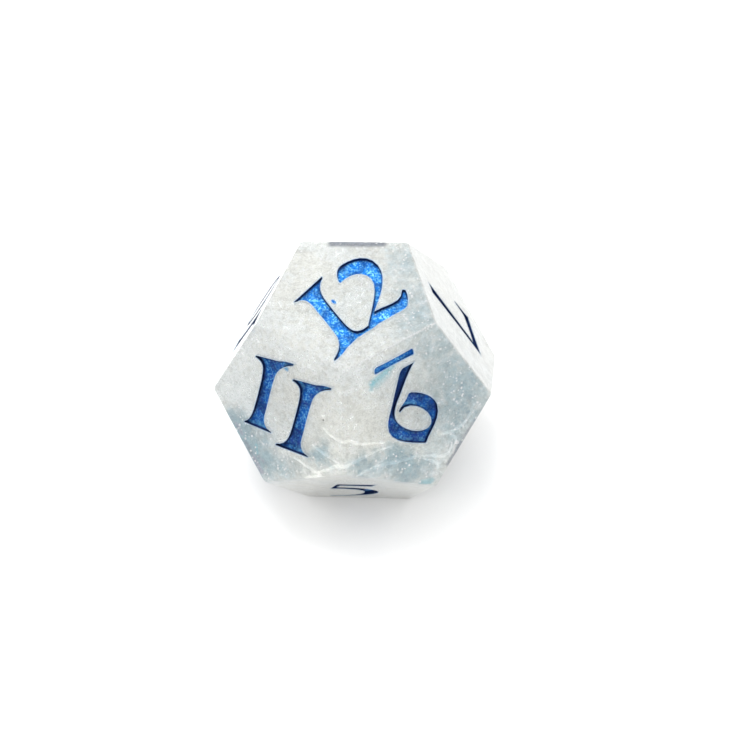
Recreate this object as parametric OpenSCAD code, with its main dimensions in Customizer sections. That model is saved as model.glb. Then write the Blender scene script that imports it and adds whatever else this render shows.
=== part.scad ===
// Twelve-sided gaming die: a cast resin body with sharp edges, and a thin coat of paint
// lining each engraved numeral. The die rests on its face 1, with face 12 on top.

/* [Body] */
// Distance between two opposite faces
across_flats = 19; // [12:0.5:32]
// Width of the narrow flat polished along every edge
edge_flat = 0.12; // [0.04:0.02:0.4]
// How much is taken off each corner by polishing
corner_trim = 0.1; // [0.02:0.02:0.4]

/* [Numerals] */
// Least distance from a numeral to the edge of its face
face_margin = 0.5; // [0.4:0.05:1.5]
// Depth of the engraving
engraving_depth = 0.55; // [0.4:0.05:0.7]
// How far the 5 sits below the middle of its face, in hundredths of its height
five_drop = 22; // [0:1:24]

/* [Paint] */
// Thickness of the paint on the floor of the engraving
paint_floor = 0.14; // [0.06:0.02:0.3]
// Thickness of the paint on the walls of the engraving
paint_wall = 0.05; // [0.03:0.01:0.08]
// Distance from the face down to the rim of the paint
paint_rim = 0.03; // [0.01:0.01:0.1]

/* [Pinhole] */
// Length of the casting pinhole beside the 12
pinhole_length = 0.6; // [0.4:0.05:0.8]
// Width of the pinhole
pinhole_width = 0.36; // [0.24:0.02:0.5]
// Depth of the pinhole
pinhole_depth = 0.3; // [0.2:0.05:0.4]

/* [Quality] */
// Straight pieces in each curved stretch of a numeral
curve_steps = 6; // [3:1:12]

/* [Hidden] */
half = across_flats / 2;
golden = (1 + sqrt(5)) / 2;

// Regular dodecahedron: edge, and the distances from its centre to an edge and to a corner
edge = 2 * half * sqrt(3 - golden) / pow(golden, 2);
edge_radius = edge * pow(golden, 2) / 2;
corner_radius = edge * golden * sqrt(3) / 2;
face_apothem = edge / (2 * tan(36));
edge_cut = edge_flat / (2 * golden);

// Faces: 12 on top, then a ring of five. Opposite faces add up to 13.
ring = [11, 9, 7, 8, 10];
ring_tilt = acos(1 / sqrt(5));
ring_start = -126;
top_spin = 36;

// Numerals are drawn in hundredths of their height, standing upright about their middle.
// The lower left serif of the 12 comes nearest to an edge and sets the height.
serif_tip = [-61, -68];
lower_left = [cos(198), sin(198)];
numeral_height = 100 * (face_apothem - face_margin) / (serif_tip * lower_left);
unit = numeral_height / 100;

// Height above the face at which a cutter starts
overcut = 1;

function ring_place(number) = search(number, ring)[0];
function in_ring(number) = len([for (n = ring) if (n == number) n]) > 0;
function azimuth(number) =
    in_ring(number) ? ring_start + 72 * ring_place(number) : azimuth(13 - number) + 180;

// Tilt from upright, azimuth, and turn of the numeral in the plane of its face
function attitude(number) =
    number == 12 ? [0, 0, top_spin]
    : number == 1 ? [180, 0, 180 - top_spin]
    : in_ring(number) ? [ring_tilt, azimuth(number), -90]
    : [180 - ring_tilt, azimuth(number), 90];

function normal(number) = let (a = attitude(number))
    [sin(a[0]) * cos(a[1]), sin(a[0]) * sin(a[1]), cos(a[0])];
function adjacent(p, q) = abs(normal(p) * normal(q) - 1 / sqrt(5)) < 0.01;

// One direction for each pair of opposite edges, and for each pair of opposite corners
edge_directions = [
    for (p = [1:11], q = [p + 1:12])
        if (p + q > 13 && adjacent(p, q)) normal(p) + normal(q)
];
corner_directions = [
    for (p = [1:10], q = [p + 1:11], r = [q + 1:12])
        if (p + q + r > 19 && adjacent(p, q) && adjacent(q, r) && adjacent(p, r))
            normal(p) + normal(q) + normal(r)
];

// Point at t along the curve steered by the given points
function along(points, t) = len(points) == 1 ? points[0]
    : along([for (i = [0:len(points) - 2]) points[i] * (1 - t) + points[i + 1] * t], t);

// Outline through a closed list of stretches. Each stretch starts where the last one ended
// and is a list of points: one for a straight line, more for a curve steered to its end.
function outline(stretches) = [
    for (i = [0:len(stretches) - 1])
        let (
            before = stretches[(i + len(stretches) - 1) % len(stretches)],
            steer = concat([before[len(before) - 1]], stretches[i]),
            steps = len(stretches[i]) == 1 ? 1 : curve_steps
        )
        for (k = [1:steps]) along(steer, k / steps)
];

function oval(width, height) = let (steps = 6 * curve_steps)
    [for (k = [1:steps]) [width / 2 * cos(360 * k / steps), height / 2 * sin(360 * k / steps)]];

// Upright stroke with slanted serifs; peak is where the top serif ends on the right
function one_outline(peak) = outline([
    [[-23, 42]],
    [peak],
    [peak + [2, -1], peak + [0, -4]],
    [[12, 44], [9, 34], [9, 18]],
    [[8.5, 0], [9, -18]],
    [[10, -34], [12, -38], [24, -38]],
    [[26, -40], [23, -42]],
    [[-8, -52]],
    [[-18, -58], [-29, -60]],
    [[-31, -59], [-29, -56]],
    [[-14, -47], [-9, -38], [-9, -24]],
    [[-8.5, -6], [-9, 14]],
    [[-8, 32], [-10, 39], [-22, 39]],
    [[-25, 40], [-23, 42]]
]);

function two_outline() = outline([
    [[-29, 30]],
    [[-26, 40], [-21, 48], [-12, 49]],
    [[4, 51], [23, 46], [23, 24]],
    [[23, 4], [6, -13], [-16, -32]],
    [[-3, -31], [14, -40], [24, -24]],
    [[28, -22], [29, -27]],
    [[27, -38], [18, -48]],
    [[12, -53], [-14, -48], [-36, -54]],
    [[-35, -45]],
    [[-14, -22], [4, -4], [4, 10]],
    [[4, 26], [-12, 31], [-28, 25]],
    [[-30, 26], [-29, 30]]
]);

function three_outline() = outline([
    [[-26, 34]],
    [[-24, 45], [-12, 50], [0, 50]],
    [[14, 50], [24, 42], [24, 31]],
    [[24, 20], [14, 12], [7, 8]],
    [[19, 4], [28, -4], [28, -17]],
    [[28, -36], [4, -47], [-32, -54]],
    [[-38, -54], [-36, -50]],
    [[-10, -44], [11, -33], [11, -16]],
    [[11, -4], [2, 0], [-12, 0]],
    [[-15, 3], [-12, 6]],
    [[2, 9], [8, 17], [8, 27]],
    [[8, 39], [-6, 43], [-24, 31]],
    [[-27, 31], [-26, 34]]
]);

function four_outline() = outline([
    [[14, 50]],
    [[14, -8]],
    [[24, -8], [30, -3]],
    [[33, -4], [32, -8]],
    [[27, -20]],
    [[14, -20]],
    [[14, -36], [16, -42], [25, -43]],
    [[27, -45], [24, -47]],
    [[4, -51]],
    [[-8, -57], [-17, -58]],
    [[-19, -57], [-17, -54]],
    [[-6, -48], [-4, -40], [-4, -20]],
    [[-34, -20]],
    [[-39, -19], [-36, -14]],
    [[-18, 8], [-4, 30], [3, 50]]
]);

function four_counter() = outline([[[-4, 24]], [[-4, -8]], [[-23, -8]], [[-14, 6], [-4, 24]]]);

function five_outline() = outline([
    [[-18, 48]],
    [[6, 48], [30, 51]],
    [[22, 34]],
    [[-15, 35]],
    [[-20, 22]],
    [[-2, 25], [27, 16], [27, -10]],
    [[27, -34], [4, -47], [-32, -54]],
    [[-38, -54], [-36, -50]],
    [[-8, -44], [9, -32], [9, -12]],
    [[9, 6], [-10, 11], [-31, 7]]
]);

function seven_outline() = outline([
    [[-31, 52]],
    [[4, 48], [34, 49]],
    [[26, 30], [17, 4], [-1, -58]],
    [[-17, -60]],
    [[-14, -44], [4, -4], [18, 34]],
    [[-4, 36], [-22, 35]],
    [[-28, 30], [-32, 19]],
    [[-35, 17], [-38, 20]],
    [[-33, 34], [-31, 52]]
]);

function eight_outline() = outline([
    [[14, 50], [24, 42], [24, 30]],
    [[24, 19], [17, 11], [9, 6]],
    [[20, 1], [29, -8], [29, -22]],
    [[29, -40], [16, -51], [0, -51]],
    [[-17, -51], [-29, -42], [-29, -26]],
    [[-29, -11], [-19, -3], [-9, 4]],
    [[-18, 10], [-24, 18], [-24, 29]],
    [[-24, 42], [-13, 50], [0, 50]]
]);

// Where the foot of the 1 runs into the foot of the 2
joint_outline = [[-14, -47.5], [-2, -45.5], [-2, -53.5], [-14, -54.5], [-24, -55.5]];

// Open bowl whose tail stops just short of the straight tapered stem
function nine_outline() = outline([
    [[-4, 49]],
    [[6, 43], [34, 30], [34, 12]],
    [[34, -2], [22, -12], [15, -25]],
    [[0, -48]],
    [[-4, -54], [-9, -54]],
    [[-25, -54]],
    [[-14, -47], [-2, -32], [6, -23]],
    [[14, -15], [20, -8], [20, 1]],
    [[20, 12], [6, 28], [-7, 31]],
    [[-16, 33], [-20, 28], [-20, 21]],
    [[-20, 8], [0, -14], [13, -3]],
    [[15, -4], [14, -7]],
    [[9, -12], [3, -13], [-2, -19]],
    [[-4, -22], [-8, -21]],
    [[-20, -16], [-34, -2], [-34, 10]],
    [[-34, 30], [-14, 38], [-6, 49]]
]);

function bar_outline() = outline([
    [[25, -62]],
    [[28, -62], [27, -66]],
    [[26, -71], [22, -71]],
    [[0, -70], [-24, -71]],
    [[-27, -71], [-27, -67]],
    [[-27, -62], [-24, -62]],
    [[0, -63], [25, -62]]
]);

// Each painted shape: its node, its face, the figure it follows, and the figure's place
// and turn; a one also gives the peak of its top serif
paints = [
    ["paint_1", 1, "one", [0, 2], 0, [24, 52]],
    ["paint_2", 2, "two", [4, 0], 0],
    ["paint_3", 3, "three", [2, 0], 0],
    ["paint_4", 4, "four", [2, 0], 0],
    ["paint_5", 5, "five", [2, -five_drop], 0],
    ["paint_6", 6, "nine", [0, 0], 180],
    ["paint_6_bar", 6, "bar", [0, 0], 0],
    ["paint_7", 7, "seven", [0, 0], 0],
    ["paint_8", 8, "eight", [0, 0], 0],
    ["paint_9", 9, "nine", [0, 0], 0],
    ["paint_9_bar", 9, "bar", [0, 0], 0],
    ["paint_10_one", 10, "one", [-30, 0], 0, [17, 50]],
    ["paint_10_zero", 10, "zero", [20, 0], 0],
    ["paint_11_first", 11, "one", [-26, 0], 0, [24, 53]],
    ["paint_11_second", 11, "one", [31, 0], 0, [17, 50]],
    ["paint_12", 12, "twelve", [0, 0], 0],
    ["paint_pinhole", 12, "pinhole", [-17, 6], 8]
];

module figure(name, peak) {
    if (name == "one") polygon(one_outline(peak));
    if (name == "two") polygon(two_outline());
    if (name == "three") polygon(three_outline());
    if (name == "five") polygon(five_outline());
    if (name == "seven") polygon(seven_outline());
    if (name == "nine") polygon(nine_outline());
    if (name == "bar") polygon(bar_outline());
    if (name == "pinhole") polygon(oval(pinhole_width, pinhole_length) / unit);
    if (name == "four")
        difference() {
            polygon(four_outline());
            polygon(four_counter());
        }
    if (name == "eight")
        difference() {
            polygon(eight_outline());
            translate([0, 28]) rotate(38) polygon(oval(17, 32));
            translate([0, -23]) rotate(48) polygon(oval(24, 42));
        }
    if (name == "zero")
        difference() {
            polygon(oval(54, 104));
            rotate(12) polygon(oval(22, 82));
        }
    if (name == "twelve") {
        translate([-32, -9]) polygon(one_outline([23, 56]));
        translate([32, 0]) polygon(two_outline());
        polygon(joint_outline);
    }
}

// The painted shape at real size, flat on its face
module shape(paint) {
    scale(unit)
        translate(paint[3])
            rotate(paint[4]) figure(paint[2], paint[5]);
}

function depth(paint) = paint[2] == "pinhole" ? pinhole_depth : engraving_depth;

// Carries its children from the flat onto the middle of a numbered face
module on_face(number) {
    a = attitude(number);
    translate([0, 0, half])
        rotate([0, a[0], a[1]])
            translate([0, 0, half]) rotate(a[2]) children();
}

// Space between two parallel planes, each at the given distance from the middle of the die
module slab(direction, distance) {
    tilt = acos(direction[2] / norm(direction));
    rotate([0, tilt, atan2(direction[1], direction[0])])
        cube([3 * across_flats, 3 * across_flats, 2 * distance], center = true);
}

module solid_die() {
    translate([0, 0, half])
        intersection() {
            intersection_for(number = [7:12]) slab(normal(number), half);
            intersection_for(direction = edge_directions)
                slab(direction, edge_radius - edge_cut);
            intersection_for(direction = corner_directions)
                slab(direction, corner_radius - corner_trim);
        }
}

module resin_body() {
    color("whitesmoke")
        difference() {
            solid_die();
            for (paint = paints)
                on_face(paint[1])
                    translate([0, 0, -depth(paint)])
                        linear_extrude(depth(paint) + overcut) shape(paint);
        }
}

// Paint lining one engraved shape: a floor, and walls that stop just below the face
module paint_coat(paint) {
    color("royalblue")
        on_face(paint[1])
            translate([0, 0, -depth(paint)])
                difference() {
                    linear_extrude(depth(paint) - paint_rim) shape(paint);
                    translate([0, 0, paint_floor])
                        linear_extrude(depth(paint))
                            offset(delta = -paint_wall) shape(paint);
                }
}

resin_body();
for (paint = paints)
    paint_coat(paint);
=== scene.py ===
import math
import random

import bmesh
import bpy
from mathutils import Matrix, Vector, noise
from mathutils.bvhtree import BVHTree
from mathutils.geometry import interpolate_bezier
from mathutils.kdtree import KDTree


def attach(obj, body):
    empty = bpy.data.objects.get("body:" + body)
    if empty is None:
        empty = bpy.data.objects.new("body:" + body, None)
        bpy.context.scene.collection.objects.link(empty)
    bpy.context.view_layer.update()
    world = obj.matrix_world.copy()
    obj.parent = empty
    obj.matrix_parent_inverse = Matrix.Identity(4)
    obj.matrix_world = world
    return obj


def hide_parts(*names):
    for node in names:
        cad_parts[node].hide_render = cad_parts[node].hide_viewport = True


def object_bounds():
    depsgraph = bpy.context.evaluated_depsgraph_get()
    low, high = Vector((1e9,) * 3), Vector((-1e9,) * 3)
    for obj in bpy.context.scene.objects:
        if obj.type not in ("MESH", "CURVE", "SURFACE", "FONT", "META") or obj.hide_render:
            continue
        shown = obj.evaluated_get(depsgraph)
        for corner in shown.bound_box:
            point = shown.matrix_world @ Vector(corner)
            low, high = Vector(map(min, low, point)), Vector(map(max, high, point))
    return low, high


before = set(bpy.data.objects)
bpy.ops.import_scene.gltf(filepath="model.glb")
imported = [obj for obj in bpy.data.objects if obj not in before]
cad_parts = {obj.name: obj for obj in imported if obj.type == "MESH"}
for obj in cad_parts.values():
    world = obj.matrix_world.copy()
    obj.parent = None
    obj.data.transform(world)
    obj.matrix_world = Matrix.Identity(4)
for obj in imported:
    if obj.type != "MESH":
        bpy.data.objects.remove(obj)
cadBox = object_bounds()
print("frame loaded")

mm = 0.001
half = (cadBox[1].z - cadBox[0].z) / 2
centre = Vector((0, 0, half))

# where the faces are: opposite faces add up to 13, and five faces stand round the 12
ring = {"numbers": [11, 9, 7, 8, 10], "start": -126, "tilt": math.degrees(math.acos(5 ** -0.5))}


def faceAngles(number):  # tilt, azimuth and turn of a numeral that stands upright
    if number == 12:
        return 0, 0, 36
    if number == 1:
        return 180, 0, 144
    if number in ring["numbers"]:
        return ring["tilt"], ring["start"] + 72 * ring["numbers"].index(number), -90
    return 180 - ring["tilt"], faceAngles(13 - number)[1] + 180, 90


def faceFrame(number):  # matrix from a face's own plane, with Z outwards, to the die
    tilt, azimuth, turn = (math.radians(angle) for angle in faceAngles(number))
    turned = Matrix.Rotation(azimuth, 4, "Z") @ Matrix.Rotation(tilt, 4, "Y")
    return (
        Matrix.Translation(centre)
        @ turned
        @ Matrix.Translation((0, 0, half))
        @ Matrix.Rotation(turn, 4, "Z")
    )


def onFace(number, x, y, depth):  # millimetres across, up and under a face
    return faceFrame(number) @ Vector((x * mm, y * mm, -depth * mm))


class Wire:  # one output in a material, so that sums on it become Math nodes
    def __init__(self, tree, socket=None):
        self.tree = tree
        self.socket = socket

    def node(self, kind, settings=None, sockets=None, output=0):
        made = self.tree.nodes.new("ShaderNode" + kind)
        for name, value in (settings or {}).items():
            if name == "stops":
                while len(made.color_ramp.elements) < len(value):
                    made.color_ramp.elements.new(0.5)
                for element, (position, colour) in zip(made.color_ramp.elements, value):
                    element.position = position
                    element.color = (*colour, 1)
            else:
                setattr(made, name, value)
        for place, value in (sockets or {}).items():
            socket = made.inputs[place]
            if isinstance(value, Wire):
                self.tree.links.new(value.socket, socket)
            elif socket.type == "RGBA" and len(value) == 3:
                socket.default_value = (*value, 1)
            else:
                socket.default_value = value
        return Wire(self.tree, made.outputs[output] if made.outputs else None)

    def math(self, operation, *values):
        return self.node("Math", {"operation": operation}, dict(enumerate(values)))

    def __add__(self, other):
        return self.math("ADD", self, other)

    def __sub__(self, other):
        return self.math("SUBTRACT", self, other)

    def __rsub__(self, other):
        return self.math("SUBTRACT", other, self)

    def __mul__(self, other):
        return self.math("MULTIPLY", self, other)

    __radd__ = __add__
    __rmul__ = __mul__

    def between(self, low, high):  # 0 below low, 1 above high, smooth between
        settings = {"interpolation_type": "SMOOTHSTEP"}
        return self.node("MapRange", settings, {0: self, 1: low, 2: high, 3: 0.0, 4: 1.0})

    def mix(self, factor, first, second):  # of two colours
        settings = {"data_type": "RGBA", "clamp_factor": True}
        return self.node("Mix", settings, {0: factor, 6: first, 7: second}, 2)

    def scaled(self, factor):
        return self.node("VectorMath", {"operation": "SCALE"}, {0: self, "Scale": factor})

    def vector(self, operation, first, second, output=0):
        return self.node("VectorMath", {"operation": operation}, {0: first, 1: second}, output)

    def wandering(self, size, reach):  # the same place, moved about at random, in millimetres
        drift = self.node("TexNoise", {}, {"Vector": self, "Scale": 1 / size, "Detail": 3.0}, 1)
        centred = self.vector("SUBTRACT", drift, (0.5, 0.5, 0.5)).scaled(2 * reach)
        return self.vector("ADD", self, centred)

    def noise(self, size, detail=3.0, roughness=0.5, distortion=0.0):  # size in millimetres
        sockets = {
            "Vector": self,
            "Scale": 1 / size,
            "Detail": detail,
            "Roughness": roughness,
            "Distortion": distortion,
        }
        return self.node("TexNoise", {}, sockets, 0)

    def cells(self, size):  # a random colour for each cell, size in millimetres
        return self.node("TexVoronoi", {}, {"Vector": self, "Scale": 1 / size}, "Color")


def finish(name, surface, volume=None):  # surface makes the shader from the place in millimetres
    material = bpy.data.materials.new(name)
    material.use_nodes = True
    material.node_tree.nodes.clear()
    start = Wire(material.node_tree)
    place = start.node("TexCoord", output="Object").scaled(1 / mm)
    ends = {"Surface": surface(place)}
    if volume:
        ends["Volume"] = volume(start)
    start.node("OutputMaterial", {}, ends)
    return material


def fading(away, radius, softness):  # 1 close by, fading out past a radius
    return 1 - away.between(radius * (1 - softness), radius * (1 + softness))


def near(place, point, radius, softness):  # 1 round a point
    return fading(place.vector("DISTANCE", place, point, "Value"), radius, softness)


def along(place, first, last, radius, softness=0.5):  # 1 along a line
    line = last - first
    reach = place.vector("SUBTRACT", place, first)
    share = place.vector("DOT_PRODUCT", reach, line / line.length_squared, "Value")
    share = place.node("Clamp", {}, {0: share})
    foot = place.node("VectorMath", {"operation": "SCALE"}, {0: line, "Scale": share})
    return fading(place.vector("DISTANCE", reach, foot, "Value"), radius, softness)


# pattern sizes and reaches are in millimetres
resin = {
    "cream": (0.94, 0.94, 0.885),
    "pearl": (0.96, 0.99, 0.975),
    "slate": (0.36, 0.50, 0.565),
    "shade": (0.74, 0.76, 0.75),
    "transmission": 0.75,
    "index": 1.52,
    "roughness": 0.05,
    "patchSize": 5.0,
    "tintSize": 0.45,
    "curlSize": 1.8,
    "curlReach": 1.3,
    "cloudSoftness": 0.95,
    "breakupSize": 0.8,
    "skin": 0.12,
    "smearSize": 0.6,
    "smearReach": 0.08,
    "smearSoftness": 0.7,
    "speckSoftness": 0.3,
    "speckle": 0.2,
    "speckleSize": 0.11,
    "grain": 0.5,
    "grainSize": 0.3,
    "mottle": 0.75,
    "mottleSize": 0.9,
    "brightness": 0.96,
    "glintSize": 0.13,
    "glintShare": (0.955, 0.97),
    "polishSize": 2.5,
    "scatterColour": (0.997, 0.9985, 0.9985),
    "scatterDensity": 900.0,
    "scatterForward": 0.5,
}

# slate-blue clouds: face, place across and up it, depth, radius (millimetres), strength
slateClouds = [
    (9, -4.8, 0.4, 0.5, 3.4, 1.0),
    (9, -4.0, -3.6, 0.5, 2.0, 0.12),
    (12, 3.6, -4.6, 0.5, 2.4, 0.85),
    (9, 5.6, 2.3, 0.3, 1.3, 0.6),
    (11, -4.0, 0.9, 0.3, 1.6, 0.45),
    (12, 5.7, 0.0, 0.5, 2.2, 0.6),
    (12, 6.2, 1.2, 0.4, 1.6, 0.25),
    (9, -2.9, 3.6, 0.4, 1.6, 0.35),
    (9, 0.9, 5.2, 0.3, 1.9, 0.9),
    (9, 2.2, 3.0, 0.3, 0.9, 0.9),
    (9, 3.1, 2.4, 0.3, 0.8, 0.7),
    (9, 2.6, 4.6, 0.3, 1.3, 0.6),
    (9, 4.4, 3.6, 0.3, 0.9, 0.5),
    (9, 5.0, 2.4, 0.3, 1.0, 0.5),
    (11, 2.0, 5.3, 0.4, 2.1, 1.3),
    (11, 3.9, 3.6, 0.4, 1.3, 0.8),
    (11, -0.6, 5.6, 0.4, 1.6, 0.6),
    (11, -2.6, 4.6, 0.3, 1.3, 0.5),
    (11, -4.6, 2.3, 0.3, 1.0, 0.8),
    (11, -3.4, 2.4, 0.3, 0.8, 0.5),
    (3, 0.5, 0, 1.0, 3.6, 0.6),
    (8, 1, 1, 1.0, 3.6, 0.5),
    (4, 2, -1, 1.0, 4.0, 0.6),
    (6, -1, 2, 1.0, 3.6, 0.6),
    (2, 3, 3, 1.0, 3.0, 0.6),
    (10, -3, 3, 0.5, 2.4, 0.4),
]
clearFace = 7  # the clouds stop short of this face, and its surface gets a painted shade
# colours of stains and specks; lead is mostly painted shade and milk mostly painted highlight
inksAndLight = {
    "cyan": (0.16, 0.62, 0.76),
    "azure": (0.05, 0.36, 0.74),
    "teal": (0.30, 0.56, 0.64),
    "lead": (0.19, 0.21, 0.26),
    "mauve": (0.42, 0.44, 0.54),
    "black": (0.01, 0.01, 0.015),
    "milk": (1.0, 1.0, 1.0),
}
# smears and specks, and painted shade and painted highlights along some edges: face, from and to across
# and up it, half width (millimetres), colour, strength
marks = [
    (9, 0.3, -4.2, 2.3, -3.75, 0.24, "cyan", 0.6),
    (9, 2.2, -3.75, 2.5, -3.3, 0.18, "cyan", 0.5),
    (9, 0.9, -3.9, 2.0, -3.5, 0.38, "cyan", 0.4),
    (11, 0.95, -3.35, 0.6, -3.3, 0.16, "azure", 0.95),
    # painted shade: grey band along the 12's far edge
    (12, 1.9, 5.6, 5.15, 3.3, 0.34, "lead", 1.0),
    (11, 3.9, 3.9, 3.2, 4.4, 0.16, "mauve", 0.7),
    (11, 2.6, 5.0, 1.9, 5.55, 0.2, "lead", 0.6),
    (11, 1.5, 5.8, 0.5, 6.55, 0.22, "mauve", 0.9),
    (11, 1.1, 5.4, 0.6, 5.6, 0.15, "mauve", 0.5),
    (11, 1.6, 4.6, 1.3, 5.2, 0.12, "teal", 0.8),
    # painted shade: grey band along an edge of the 9's face
    (9, -4.9, 3.55, -3.2, 4.75, 0.13, "lead", 0.45),
    (9, -3.1, 4.8, -1.5, 6.0, 0.17, "lead", 0.7),
    (9, 0.4, 6.75, 0.9, 6.4, 0.1, "teal", 0.8),
    (9, 1.1, 6.3, 0.2, 6.6, 0.22, "teal", 0.8),
    # painted highlight: pale line along the edge between the 12 and the 9
    (9, 4.2, -5.82, -4.2, -5.82, 0.07, "milk", 0.8),
    # painted shade and painted highlights round a chip at an edge of the 9's face
    (9, -2.95, 4.95, -2.3, 5.6, 0.12, "lead", 0.55),
    (9, -2.7, 4.4, -3.9, 4.2, 0.22, "lead", 0.3),
    (9, -2.75, 4.6, -2.5, 4.85, 0.12, "milk", 1.0),
    (9, -2.4, 5.0, -2.25, 5.3, 0.08, "milk", 0.8),
]
specks = [
    (11, -3.8, -1.07, 0.075, "black"),
    (9, -0.43, 0.54, 0.045, "black"),
    (9, -0.55, 0.5, 0.05, "milk"),
    # painted highlights on that chip
    (9, -2.85, 4.65, 0.12, "milk"),
    (9, -2.45, 5.0, 0.1, "milk"),
    (11, 2.75, 4.65, 0.1, "milk"),
    (11, 3.6, 3.8, 0.1, "milk"),
]


def cloudColour(place):
    broad = place.noise(resin["patchSize"], 5.0, 0.62, 0.5)
    tint = broad + place.noise(resin["tintSize"], 2.0) * 0.5 - 0.25
    pale = place.mix(tint.between(0.40, 0.64), resin["cream"], resin["pearl"])
    wavy = place.wandering(resin["curlSize"], resin["curlReach"])
    cloud = 0.0
    for number, x, y, depth, radius, strength in slateClouds:
        point = onFace(number, x, y, depth) / mm
        cloud = near(wavy, point, radius, resin["cloudSoftness"]) * strength + cloud
    normal = faceFrame(clearFace).to_3x3() @ Vector((0, 0, 1))
    plane = normal.dot(onFace(clearFace, 0, 0, 0)) / mm
    below = plane - place.vector("DOT_PRODUCT", place, normal, "Value")
    inner = below.between(0.0, resin["skin"])
    patchy = place.noise(resin["breakupSize"], 6.0, 0.85) * 2.8 - 0.45
    cloudy = (cloud * patchy * inner).between(0.0, 1.25)
    colour = place.mix(cloudy, pale, resin["slate"])
    # painted shade: the surface of the clear face turns grey
    return place.mix((1 - inner) * 0.6, colour, resin["shade"])


def markedColour(place):
    colour = cloudColour(place)
    wavy = place.wandering(resin["smearSize"], resin["smearReach"])
    for number, fromX, fromY, toX, toY, radius, markColour, strength in marks:
        first = onFace(number, fromX, fromY, 0) / mm
        last = onFace(number, toX, toY, 0) / mm
        mask = along(wavy, first, last, radius, resin["smearSoftness"])
        colour = place.mix(mask * strength, colour, inksAndLight[markColour])
    for number, x, y, radius, markColour in specks:
        mask = near(place, onFace(number, x, y, 0) / mm, radius, resin["speckSoftness"])
        colour = place.mix(mask, colour, inksAndLight[markColour])
    return colour


def cloudedResin(place):
    pick = place.node("SeparateColor", {}, {0: place.cells(resin["speckleSize"])}, 0)
    soft = place.noise(resin["grainSize"], 2.0, 0.7)
    medium = place.noise(resin["mottleSize"], 3.0, 0.6)
    uneven = (soft - 0.5) * resin["grain"] + (medium - 0.5) * resin["mottle"]
    level = (pick - 0.5) * resin["speckle"] + uneven + resin["brightness"]
    colour = markedColour(place).scaled(level)
    # painted highlights: scattered cells of the resin turned white, as glints of mica
    glint = place.node("SeparateColor", {}, {0: place.cells(resin["glintSize"])}, 1)
    colour = place.mix(glint.between(*resin["glintShare"]), colour, inksAndLight["milk"])
    return place.node(
        "BsdfPrincipled",
        {},
        {
            "Base Color": colour,
            "Roughness": place.noise(resin["polishSize"], 4.0, 0.6) * 0.08 + resin["roughness"] - 0.03,
            "IOR": resin["index"],
            "Transmission Weight": resin["transmission"],
        },
    )


def milkiness(start):  # scatters light all through the resin
    return start.node(
        "VolumeScatter",
        {},
        {
            "Color": resin["scatterColour"],
            "Density": resin["scatterDensity"],
            "Anisotropy": resin["scatterForward"],
        },
    )


def milkyCore(place):
    return place.node(
        "BsdfPrincipled",
        {},
        {"Base Color": cloudColour(place), "Roughness": 0.6, "Specular IOR Level": 0.0},
    )


chalk = {
    "dull": (0.90, 0.94, 0.95),
    "bright": (1.0, 1.0, 1.0),
    "size": 0.15,
    "glow": (1.0, 0.97, 0.92),  # painted light: the wisps glow, though they are no lamp
    "glowStrength": 0.17,
}


def whiteWisp(place):
    colour = place.mix(place.noise(chalk["size"], 2.0).between(0.35, 0.6), chalk["dull"], chalk["bright"])
    return place.node(
        "BsdfPrincipled",
        {},
        {
            "Base Color": colour,
            "Roughness": 0.7,
            "Specular IOR Level": 0.0,
            # painted light: the wisps glow a little
            "Emission Color": chalk["glow"],
            "Emission Strength": chalk["glowStrength"],
        },
    )


pearlescence = {
    "stops": [
        (0.0, (1.0, 1.0, 1.0)),
        (0.5, (0.8, 1.0, 0.98)),
        (0.7, (1.0, 0.97, 0.85)),
        (0.9, (0.9, 0.9, 1.0)),
    ],
    "size": 0.4,
    "metallic": 0.35,
    "roughness": 0.2,
}


def mica(place):
    pick = place.node("SeparateColor", {}, {0: place.cells(pearlescence["size"])}, 0)
    sheen = place.node("ValToRGB", {"stops": pearlescence["stops"]}, {0: pick})
    return place.node(
        "BsdfPrincipled",
        {},
        {
            "Base Color": sheen,
            "Metallic": pearlescence["metallic"],
            "Roughness": pearlescence["roughness"],
        },
    )


paint = {
    "azure": (0.008, 0.17, 0.62),
    "royal": (0.004, 0.078, 0.34),
    "deep": (0.002, 0.02, 0.12),
    "sky": (0.28, 0.75, 1.0),
    "navy": (0.004, 0.015, 0.07),
    "violet": (0.022, 0.035, 0.24),
    # rim and bond are painted highlights along the coat's edges
    "rim": (0.42, 0.54, 0.68),
    "bond": (0.50, 0.58, 0.70),
    "flake": 0.10,
    "facetTilt": 0.7,
    "patchSize": 1.1,
    "violetSize": 0.8,
    "litSize": 0.5,
    "metallic": 0.35,
    "specular": 0.15,
    "roughness": 0.25,
    "roughnessSize": 0.3,
    "stem": (9, (-0.7, -3.7), (1.5, -0.6), 0.6),  # painted shade along the 9's stem: face, from, to, half width
}


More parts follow.
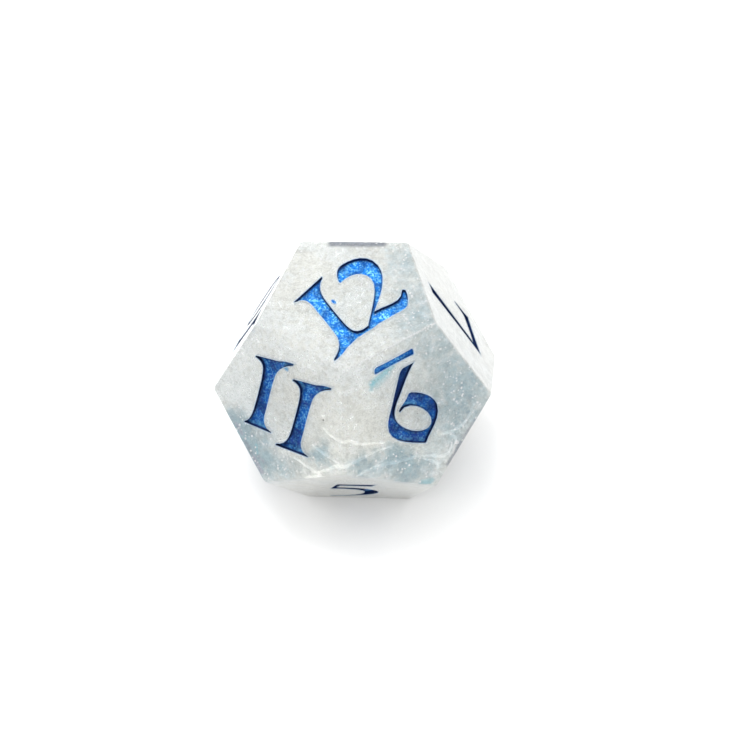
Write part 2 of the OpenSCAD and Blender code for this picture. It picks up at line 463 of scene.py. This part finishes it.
def metallicPaint(place):
    height = place.node("Attribute", {"attribute_name": "height"}, {}, "Fac")
    tone = place.node("Attribute", {"attribute_name": "tone"}, {}, "Fac")
    bonded = place.node("Attribute", {"attribute_name": "bonded"}, {}, "Fac")
    shade = place.node("Attribute", {"attribute_name": "shade"}, {}, "Fac")
    patch = place.noise(paint["patchSize"], 3.0)
    flakes = place.cells(paint["flake"])
    pick = place.node("SeparateColor", {}, {0: flakes}, 0)
    # royal to azure by the numeral's tone, partly painted light: azure on the upward 12, deeper on the 11
    # and the 9
    blue = place.mix(tone, paint["royal"], paint["azure"])
    blue = place.mix(patch.between(0.45, 0.66) * (0.85 - tone * 0.3), blue, paint["deep"])
    violet = place.noise(paint["violetSize"], 2.0).between(0.5, 0.62) * (0.5 - tone * 0.45)
    blue = place.mix(violet, blue, paint["violet"])
    number, low, high, radius = paint["stem"]
    # painted shade along the 9's stem, which also dims its highlights
    stem = along(place, onFace(number, *low, 0.5) / mm, onFace(number, *high, 0.5) / mm, radius)
    blue = place.mix(stem * 0.85, blue, paint["deep"])
    # painted highlights: flakes turned sky blue, more on the brighter tones and less in the patches
    shine = pick.between(0.5, 1.0) * (tone * 0.55 + 0.28)
    shine = shine * (1.25 - patch.between(0.3, 0.7)) * (1 - stem * 0.7)
    blue = place.mix(shine, blue, paint["sky"])
    # painted shade under a stroke's upper edge, painted light near its lower edge
    under = shade.between(0.2, 0.6)
    lowerEdgeLight = (0 - shade).between(0.15, 0.6) * place.noise(paint["litSize"], 3.0).between(0.35, 0.65)
    blue = place.mix(lowerEdgeLight * 0.3 * (1 - stem), blue, paint["sky"])
    blue = place.mix(under * 0.95, blue, paint["navy"])
    # painted shade: the walls of the engravings go navy with height, less on the palest tones
    wallShade = height.between(0.3, 0.52) * (1 - tone.between(1.1, 1.4) * 0.8)
    colour = place.mix(wallShade, blue, paint["navy"])
    # painted highlight: a pale line along the top of the coat's walls
    colour = place.mix(height.between(0.93, 1.0) * 0.85, colour, paint["rim"])
    # painted highlight: where the coat sits on the resin its back is pale, in place of blue
    colour = place.mix(bonded.between(0.6, 0.9), colour, paint["bond"])
    facet = place.vector("SUBTRACT", flakes, (0.5, 0.5, 0.5)).scaled(paint["facetTilt"])
    facing = place.vector("ADD", place.node("NewGeometry", output="Normal"), facet)
    facing = place.node("VectorMath", {"operation": "NORMALIZE"}, {0: facing})
    return place.node(
        "BsdfPrincipled",
        {},
        {
            "Base Color": colour,
            "Metallic": paint["metallic"],
            "Specular IOR Level": paint["specular"],
            "Roughness": place.noise(paint["roughnessSize"]) * 0.3 + paint["roughness"],
            "Normal": facing,
        },
    )


finishes = {
    "resin": finish("clouded_resin", cloudedResin, milkiness),
    "core": finish("milky_core", milkyCore),
    "wisp": finish("white_wisp", whiteWisp),
    "mica": finish("mica", mica),
    "paint": finish("metallic_paint", metallicPaint),
}
print("materials made")


def keep(shape, name, material):  # a finished bmesh becomes a piece that rides on the die
    mesh = bpy.data.meshes.new(name)
    shape.to_mesh(mesh)
    shape.free()
    mesh.materials.append(material)
    piece = bpy.data.objects.new(name, mesh)
    bpy.context.scene.collection.objects.link(piece)
    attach(piece, "root")
    return piece


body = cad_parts["resin_body"]
body.data.materials.clear()
body.data.materials.append(finishes["resin"])

# how the paint lies in the engravings (millimetres, and tones from royal at 0 to azure at 1; the tones
# are partly painted light, with the 12 that faces up to the light azure and the 11 and the 9 deeper, and
# partly the coat's own, paler where it is thin in the 9's bar and the pinhole)
coat = {
    "swell": 0.006,
    "grid": 0.14,
    "floor": 0.14,
    "meniscus": 0.10,
    "reach": 0.13,
    "shade": 0.4,
    "crust": 0.035,
    "crustSize": 0.22,
    "weld": 0.001,
    "seat": 0.02,
    "floorBand": 0.03,
    "tones": {
        "12": 1.0,
        "pinhole": 1.5,
        "9_bar": 1.5,
        "11_first": 0.2,
        "11_second": 0.14,
        "9": 0.05,
    },
    "otherTone": 0.3,
}

solid = bmesh.new()
solid.from_mesh(body.data)
skin = BVHTree.FromBMesh(solid)  # the resin's outside, to keep what is cast in it under cover
solid.free()


def cover(point):  # depth under the resin's skin, with the skin's nearest point and its normal
    nearest, normal, _, _ = skin.find_nearest(point)
    return (nearest - point).dot(normal), nearest, normal


def faceOf(node):  # the number of the face that a coat of paint is in
    return 12 if node == "paint_pinhole" else int(node.split("_")[1])


def dryPaint(node):
    number = faceOf(node)
    shape = bmesh.new()
    shape.from_mesh(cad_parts[node].data)
    shape.transform(faceFrame(number).inverted())
    bmesh.ops.remove_doubles(shape, verts=shape.verts, dist=coat["weld"] * mm)
    bmesh.ops.recalc_face_normals(shape, faces=shape.faces)
    low = min(vert.co.z for vert in shape.verts)
    high = max(vert.co.z for vert in shape.verts)
    floor = low + coat["floor"] * mm
    for vert in shape.verts:
        vert.co += vert.normal * coat["swell"] * mm

    def floorFaces():
        return [
            face
            for face in shape.faces
            if face.normal.z > 0.9
            and abs(face.calc_center_median().z - floor) < coat["floorBand"] * mm
        ]

    step = coat["grid"] * mm
    for axis in range(2):
        places = [vert.co[axis] for vert in shape.verts]
        count = int((max(places) - min(places)) / step)
        for cut in range(1, count + 1):
            faces = floorFaces()
            plane = Vector((0, 0, 0))
            plane[axis] = min(places) + cut * step
            across = Vector((0, 0, 0))
            across[axis] = 1
            edges = list(dict.fromkeys(edge for face in faces for edge in face.edges))
            verts = list(dict.fromkeys(vert for face in faces for vert in face.verts))
            bmesh.ops.bisect_plane(shape, geom=verts + edges + faces, plane_co=plane, plane_no=across)
    faces = floorFaces()
    inside = set(faces)
    upwards = (faceFrame(number).to_3x3().inverted() @ Vector((0, 0, 1))).xy  # along the face
    rim = dict.fromkeys(
        vert
        for face in faces
        for edge in face.edges
        if any(other not in inside for other in edge.link_faces)
        for vert in edge.verts
    )
    tree = KDTree(len(rim))
    for index, vert in enumerate(rim):
        tree.insert(vert.co, index)
    tree.balance()
    shade = shape.verts.layers.float.new("shade")  # up to 1 at a stroke's upper edge, where the shader paints shade, down to -1 at its lower edge, where it paints light
    for vert in dict.fromkeys(vert for face in faces for vert in face.verts):
        edge, _, away = tree.find(vert.co)
        outwards = -vert.normal.xy if vert in rim else (edge - vert.co).xy
        if outwards.length > 0:
            vert[shade] = outwards.normalized().dot(upwards) * math.exp(-away / mm / coat["shade"])
        if vert not in rim:
            rise = coat["meniscus"] * math.exp(-away / mm / coat["reach"])
            wrinkle = noise.noise(vert.co / (coat["crustSize"] * mm) + Vector((number, 0, 0)))
            vert.co.z += (rise + coat["crust"] * wrinkle) * mm
    layer = shape.verts.layers.float.new("height")
    for vert in shape.verts:
        vert[layer] = (vert.co.z - low) / (high - low)
    # the numeral's tone, partly painted light, as in coat tones
    layer = shape.verts.layers.float.new("tone")
    for vert in shape.verts:
        vert[layer] = coat["tones"].get(node.removeprefix("paint_"), coat["otherTone"])
    for face in inside:
        face.smooth = True
    shape.transform(faceFrame(number))
    layer = shape.verts.layers.float.new("bonded")  # 1 where the coat sits on the resin
    for vert in shape.verts:
        vert[layer] = cover(vert.co)[0] > -coat["seat"] * mm
    piece = keep(shape, "dried_" + node, finishes["paint"])
    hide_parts(node)


for node in sorted(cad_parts):
    if node.startswith("paint"):
        dryPaint(node)
print("paint dried")


def dodecahedron(apothem):  # a block cut down to twelve faces
    shape = bmesh.new()
    bmesh.ops.create_cube(shape, size=4 * apothem)
    for number in range(1, 13):
        normal = faceFrame(number).to_3x3() @ Vector((0, 0, 1))
        bmesh.ops.bisect_plane(
            shape,
            geom=shape.verts[:] + shape.edges[:] + shape.faces[:],
            plane_co=normal * apothem,
            plane_no=normal,
            clear_outer=True,
        )
        bmesh.ops.holes_fill(shape, edges=[edge for edge in shape.edges if edge.is_boundary])
    return shape


core = {"depth": 1.9, "round": 2.2, "segments": 5, "cuts": 3, "ripple": 0.25, "rippleSize": 1.5}


def cloudCore():
    shape = dodecahedron(half - core["depth"] * mm)
    bmesh.ops.bevel(
        shape,
        geom=shape.edges[:] + shape.verts[:],
        offset=core["round"] * mm,
        segments=core["segments"],
        profile=0.5,
        affect="EDGES",
        material=-1,
    )
    bmesh.ops.triangulate(shape, faces=shape.faces)
    bmesh.ops.subdivide_edges(shape, edges=shape.edges, cuts=core["cuts"], use_grid_fill=True)
    for vert in shape.verts:
        ripple = noise.noise(vert.co / (core["rippleSize"] * mm))
        vert.co *= 1 - core["ripple"] * mm * (ripple + 0.6) / vert.co.length
    for face in shape.faces:
        face.smooth = True
    bmesh.ops.translate(shape, verts=shape.verts, vec=centre)
    keep(shape, "milky_core", finishes["core"])


cloudCore()
print("core made")

wisps = {
    "depth": 0.19,
    "strands": 4,
    "spread": 0.14,
    "wanderSize": 0.45,
    "thickness": 0.048,
    "unevenSize": 0.3,
    "heart": 3.4,
    "steps": 9,
    "cover": 0.05,
    # each wisp: face, then places across and up it (millimetres)
    "paths": [
        [
            *[(11, -3.85, -0.4), (11, -4.75, -0.15), (11, -5.85, -0.2)],
            *[(9, 5.5, -0.1), (9, 4.8, 0.6), (9, 2.9, 1.5)],
        ],
        [(11, -3.35, 1.6), (11, -4.35, 1.65), (11, -6.15, 1.7)],
        [
            *[(11, -4.0, 3.9), (11, -5.1, 3.0), (11, -5.9, 2.1)],
            *[(9, 6.5, 1.7), (9, 5.0, 1.8), (9, 4.0, 1.8), (9, 2.2, 2.15)],
        ],
        [(11, -2.0, 3.6), (11, -3.1, 3.6), (11, -4.2, 3.65), (11, -4.9, 3.5)],
        [(11, -3.5, 4.7), (11, -4.4, 4.0), (11, -5.3, 3.45)],
        [
            *[(9, 5.9, 3.0), (9, 5.3, 2.95), (9, 4.4, 3.05), (9, 3.45, 3.25)],
            *[(9, 2.2, 3.65), (9, 0.95, 3.95), (9, -0.1, 4.4)],
        ],
        [(9, 0.2, 4.3), (9, -0.65, 4.75), (9, -1.4, 5.15), (9, -1.95, 5.1), (9, -2.4, 4.6)],
        [(9, 0.2, 4.5), (9, -0.5, 5.25), (9, -0.7, 5.7), (9, -0.6, 6.0)],
        [(9, -1.6, 3.25), (9, -2.45, 3.5), (9, -3.3, 3.55), (9, -4.0, 3.4), (9, -4.8, 2.9)],
        [(9, -2.6, 3.75), (9, -2.85, 4.2), (9, -2.7, 4.7)],
    ],
    "others": [3, 4, 2, 6, 8, 10],  # faces whose wisps are left to chance
    "perFace": 3,
    "arc": {"reach": 5, "points": 6, "bend": 0.5},
}


def smoothPath(points, steps):  # a curve through the points
    ends = [points[0]] + points + [points[-1]]
    path = []
    for before, first, last, after in zip(ends, ends[1:], ends[2:], ends[3:]):
        out = first + (last - before) / 6
        back = last - (after - first) / 6
        path += interpolate_bezier(first, out, back, last, steps + 1)[:-1]
    return path + [points[-1]]


def looseArc(chance, number):  # places along an arc that starts anywhere under a face
    arc = wisps["arc"]
    x, y = chance.uniform(-arc["reach"], arc["reach"]), chance.uniform(-arc["reach"], arc["reach"])
    heading = chance.uniform(0, 2 * math.pi)
    path = []
    for _ in range(arc["points"]):
        path.append((number, x, y))
        heading += chance.uniform(-arc["bend"], arc["bend"])
        x += math.cos(heading)
        y += math.sin(heading)
    return path


def isClear(path):  # off the engravings and inside the die
    points = smoothPath([onFace(*step, wisps["depth"]) for step in path], wisps["steps"])
    return all(cover(point)[0] > 0.9 * wisps["depth"] * mm for point in points)


def chanceWisp(chance, number):
    path = looseArc(chance, number)
    while not isClear(path):
        path = looseArc(chance, number)
    return path


def whiteWisps():
    chance = random.Random(9)
    paths = list(wisps["paths"])
    for number in wisps["others"]:
        paths += [chanceWisp(chance, number) for _ in range(wisps["perFace"])]
    curve = bpy.data.curves.new("white_wisps", "CURVE")
    curve.dimensions = "3D"
    curve.bevel_depth = wisps["thickness"] * mm
    curve.bevel_resolution = 1
    curve.use_fill_caps = True
    for path in paths:
        points = smoothPath([onFace(*step, wisps["depth"]) for step in path], wisps["steps"])
        for strand in range(wisps["strands"]):
            spline = curve.splines.new("POLY")
            spline.points.add(len(points) - 1)
            for index, point in enumerate(points):
                apart = Vector((7 * strand, 0, 0))  # far enough for each strand to wander by itself
                wander = noise.noise_vector(point / (wisps["wanderSize"] * mm) + apart)
                place = point + wander * wisps["spread"] * mm * (1 if strand else 0.3)
                share = index / (len(points) - 1)
                spline.points[index].co = (*place, 1)
                taper = math.sin(math.pi * min(max(share, 0.06), 0.94)) ** 0.4
                uneven = 1 + 0.5 * noise.noise(point / (wisps["unevenSize"] * mm))
                spline.points[index].radius = taper * uneven * (1 if strand else wisps["heart"])
    made = bpy.data.objects.new("white_wisps", curve)
    shape = bmesh.new()
    shape.from_mesh(bpy.data.meshes.new_from_object(made))
    bpy.data.objects.remove(made)
    bmesh.ops.recalc_face_normals(shape, faces=shape.faces)
    for vert in shape.verts:
        under, nearest, normal = cover(vert.co)
        if under < wisps["cover"] * mm:
            vert.co = nearest - normal * wisps["cover"] * mm
    for face in shape.faces:
        face.smooth = True
    keep(shape, "white_wisps", finishes["wisp"])


whiteWisps()
print("wisps made")

flakes = {
    "count": 3600,
    "reach": 7,
    "shallow": 0.06,
    "deep": 0.8,
    "small": 0.02,
    "large": 0.055,
    "thin": 0.008,
    "sides": 6,
    "tilt": 0.9,
}


def micaFlakes():
    chance = random.Random(4)
    flake = bmesh.new()
    bmesh.ops.create_cone(
        flake,
        cap_ends=True,
        segments=flakes["sides"],
        radius1=mm,
        radius2=mm,
        depth=flakes["thin"] * mm,
    )
    pattern = bpy.data.meshes.new("flake")
    flake.to_mesh(pattern)
    flake.free()
    shape = bmesh.new()
    placed = 0
    while placed < flakes["count"]:
        number = chance.randint(1, 12)
        x = chance.uniform(-flakes["reach"], flakes["reach"])
        y = chance.uniform(-flakes["reach"], flakes["reach"])
        depth = flakes["shallow"] + (flakes["deep"] - flakes["shallow"]) * chance.random() ** 2
        tilt = chance.uniform(0, flakes["tilt"])
        heading, turn = chance.uniform(0, 2 * math.pi), chance.uniform(0, 2 * math.pi)
        radius = chance.uniform(flakes["small"], flakes["large"])
        if cover(onFace(number, x, y, depth))[0] < 0.9 * flakes["shallow"] * mm:
            continue
        matrix = (
            faceFrame(number)
            @ Matrix.Translation((x * mm, y * mm, -depth * mm))
            @ Matrix.Rotation(tilt, 4, (math.cos(heading), math.sin(heading), 0))
            @ Matrix.Rotation(turn, 4, "Z")
            @ Matrix.Diagonal((radius, radius, 1, 1))
        )
        flake = pattern.copy()
        flake.transform(matrix)
        shape.from_mesh(flake)
        bpy.data.meshes.remove(flake)
        placed += 1
    bpy.data.meshes.remove(pattern)
    keep(shape, "mica_flakes", finishes["mica"])


micaFlakes()
print("mica scattered")


studio = {
    "floorSize": 3.0,
    "floor": (0.93, 0.93, 0.93),
    "zenith": 1.88,
    "horizon": 0.33,
    "softbox": {"place": (-0.07, 0.10, 0.46), "size": 0.22, "power": 0.85},
}


def makeFloor():
    shape = bmesh.new()
    bmesh.ops.create_circle(shape, cap_ends=True, segments=64, radius=studio["floorSize"])
    mesh = bpy.data.meshes.new("floor")
    shape.to_mesh(mesh)
    shape.free()
    floor = bpy.data.objects.new("floor", mesh)
    bpy.context.scene.collection.objects.link(floor)

    def paper(place):
        return place.node(
            "BsdfPrincipled",
            {},
            {"Base Color": studio["floor"], "Roughness": 0.9, "Specular IOR Level": 0.0},
        )

    mesh.materials.append(finish("white_paper", paper))


def makeSky():
    world = bpy.data.worlds.new("studio")
    world.use_nodes = True
    world.node_tree.nodes.clear()
    start = Wire(world.node_tree)
    direction = start.node("TexCoord", output="Generated")
    height = start.node("SeparateXYZ", {}, {0: direction}, 2)
    rise = height.between(0.0, 1.0)
    strength = rise * (studio["zenith"] - studio["horizon"]) + studio["horizon"]
    sky = start.node("Background", {}, {"Color": (1.0, 1.0, 1.0), "Strength": strength})
    start.node("OutputWorld", {}, {"Surface": sky})
    bpy.context.scene.world = world


def makeSoftbox():
    data = bpy.data.lights.new("softbox", "AREA")
    data.shape = "DISK"
    data.size = studio["softbox"]["size"]
    data.energy = studio["softbox"]["power"]
    lamp = bpy.data.objects.new("softbox", data)
    lamp.location = studio["softbox"]["place"]
    lamp.rotation_mode = "QUATERNION"
    lamp.rotation_quaternion = (centre - lamp.location).to_track_quat("-Z", "Y")
    bpy.context.scene.collection.objects.link(lamp)


view = {
    "azimuth": 8.87,
    "elevation": 52.16,
    "roll": -5.58,
    "distance": 179.75,
    "lens": 107.55,
    "aimRight": 0.92,
    "aimUp": 0.315,
}


def makeCamera():
    data = bpy.data.cameras.new("camera")
    data.lens = view["lens"]
    data.sensor_width = 36
    data.clip_start = 0.01
    camera = bpy.data.objects.new("camera", data)
    around = math.radians(view["azimuth"])
    above = math.radians(view["elevation"])
    back = Vector(
        (math.sin(around) * math.cos(above), -math.cos(around) * math.cos(above), math.sin(above))
    )
    eye = centre + back * view["distance"] * mm
    level = (-back).to_track_quat("-Z", "Y").to_matrix()
    rolled = level @ Matrix.Rotation(math.radians(view["roll"]), 3, "Z")
    aim = centre + rolled @ Vector((view["aimRight"] * mm, view["aimUp"] * mm, 0))
    turned = (aim - eye).to_track_quat("-Z", "Y").to_matrix()
    camera.matrix_world = Matrix.Translation(eye) @ (
        turned @ Matrix.Rotation(math.radians(view["roll"]), 3, "Z")
    ).to_4x4()
    bpy.context.scene.collection.objects.link(camera)
    bpy.context.scene.camera = camera


makeFloor()
makeSky()
makeSoftbox()
makeCamera()
scene = bpy.context.scene
scene.view_settings.view_transform = "Standard"
scene.cycles.max_bounces = 32
scene.cycles.volume_bounces = 24
scene.cycles.transmission_bounces = 12
scene.cycles.sample_clamp_indirect = 4.0
print("studio set")
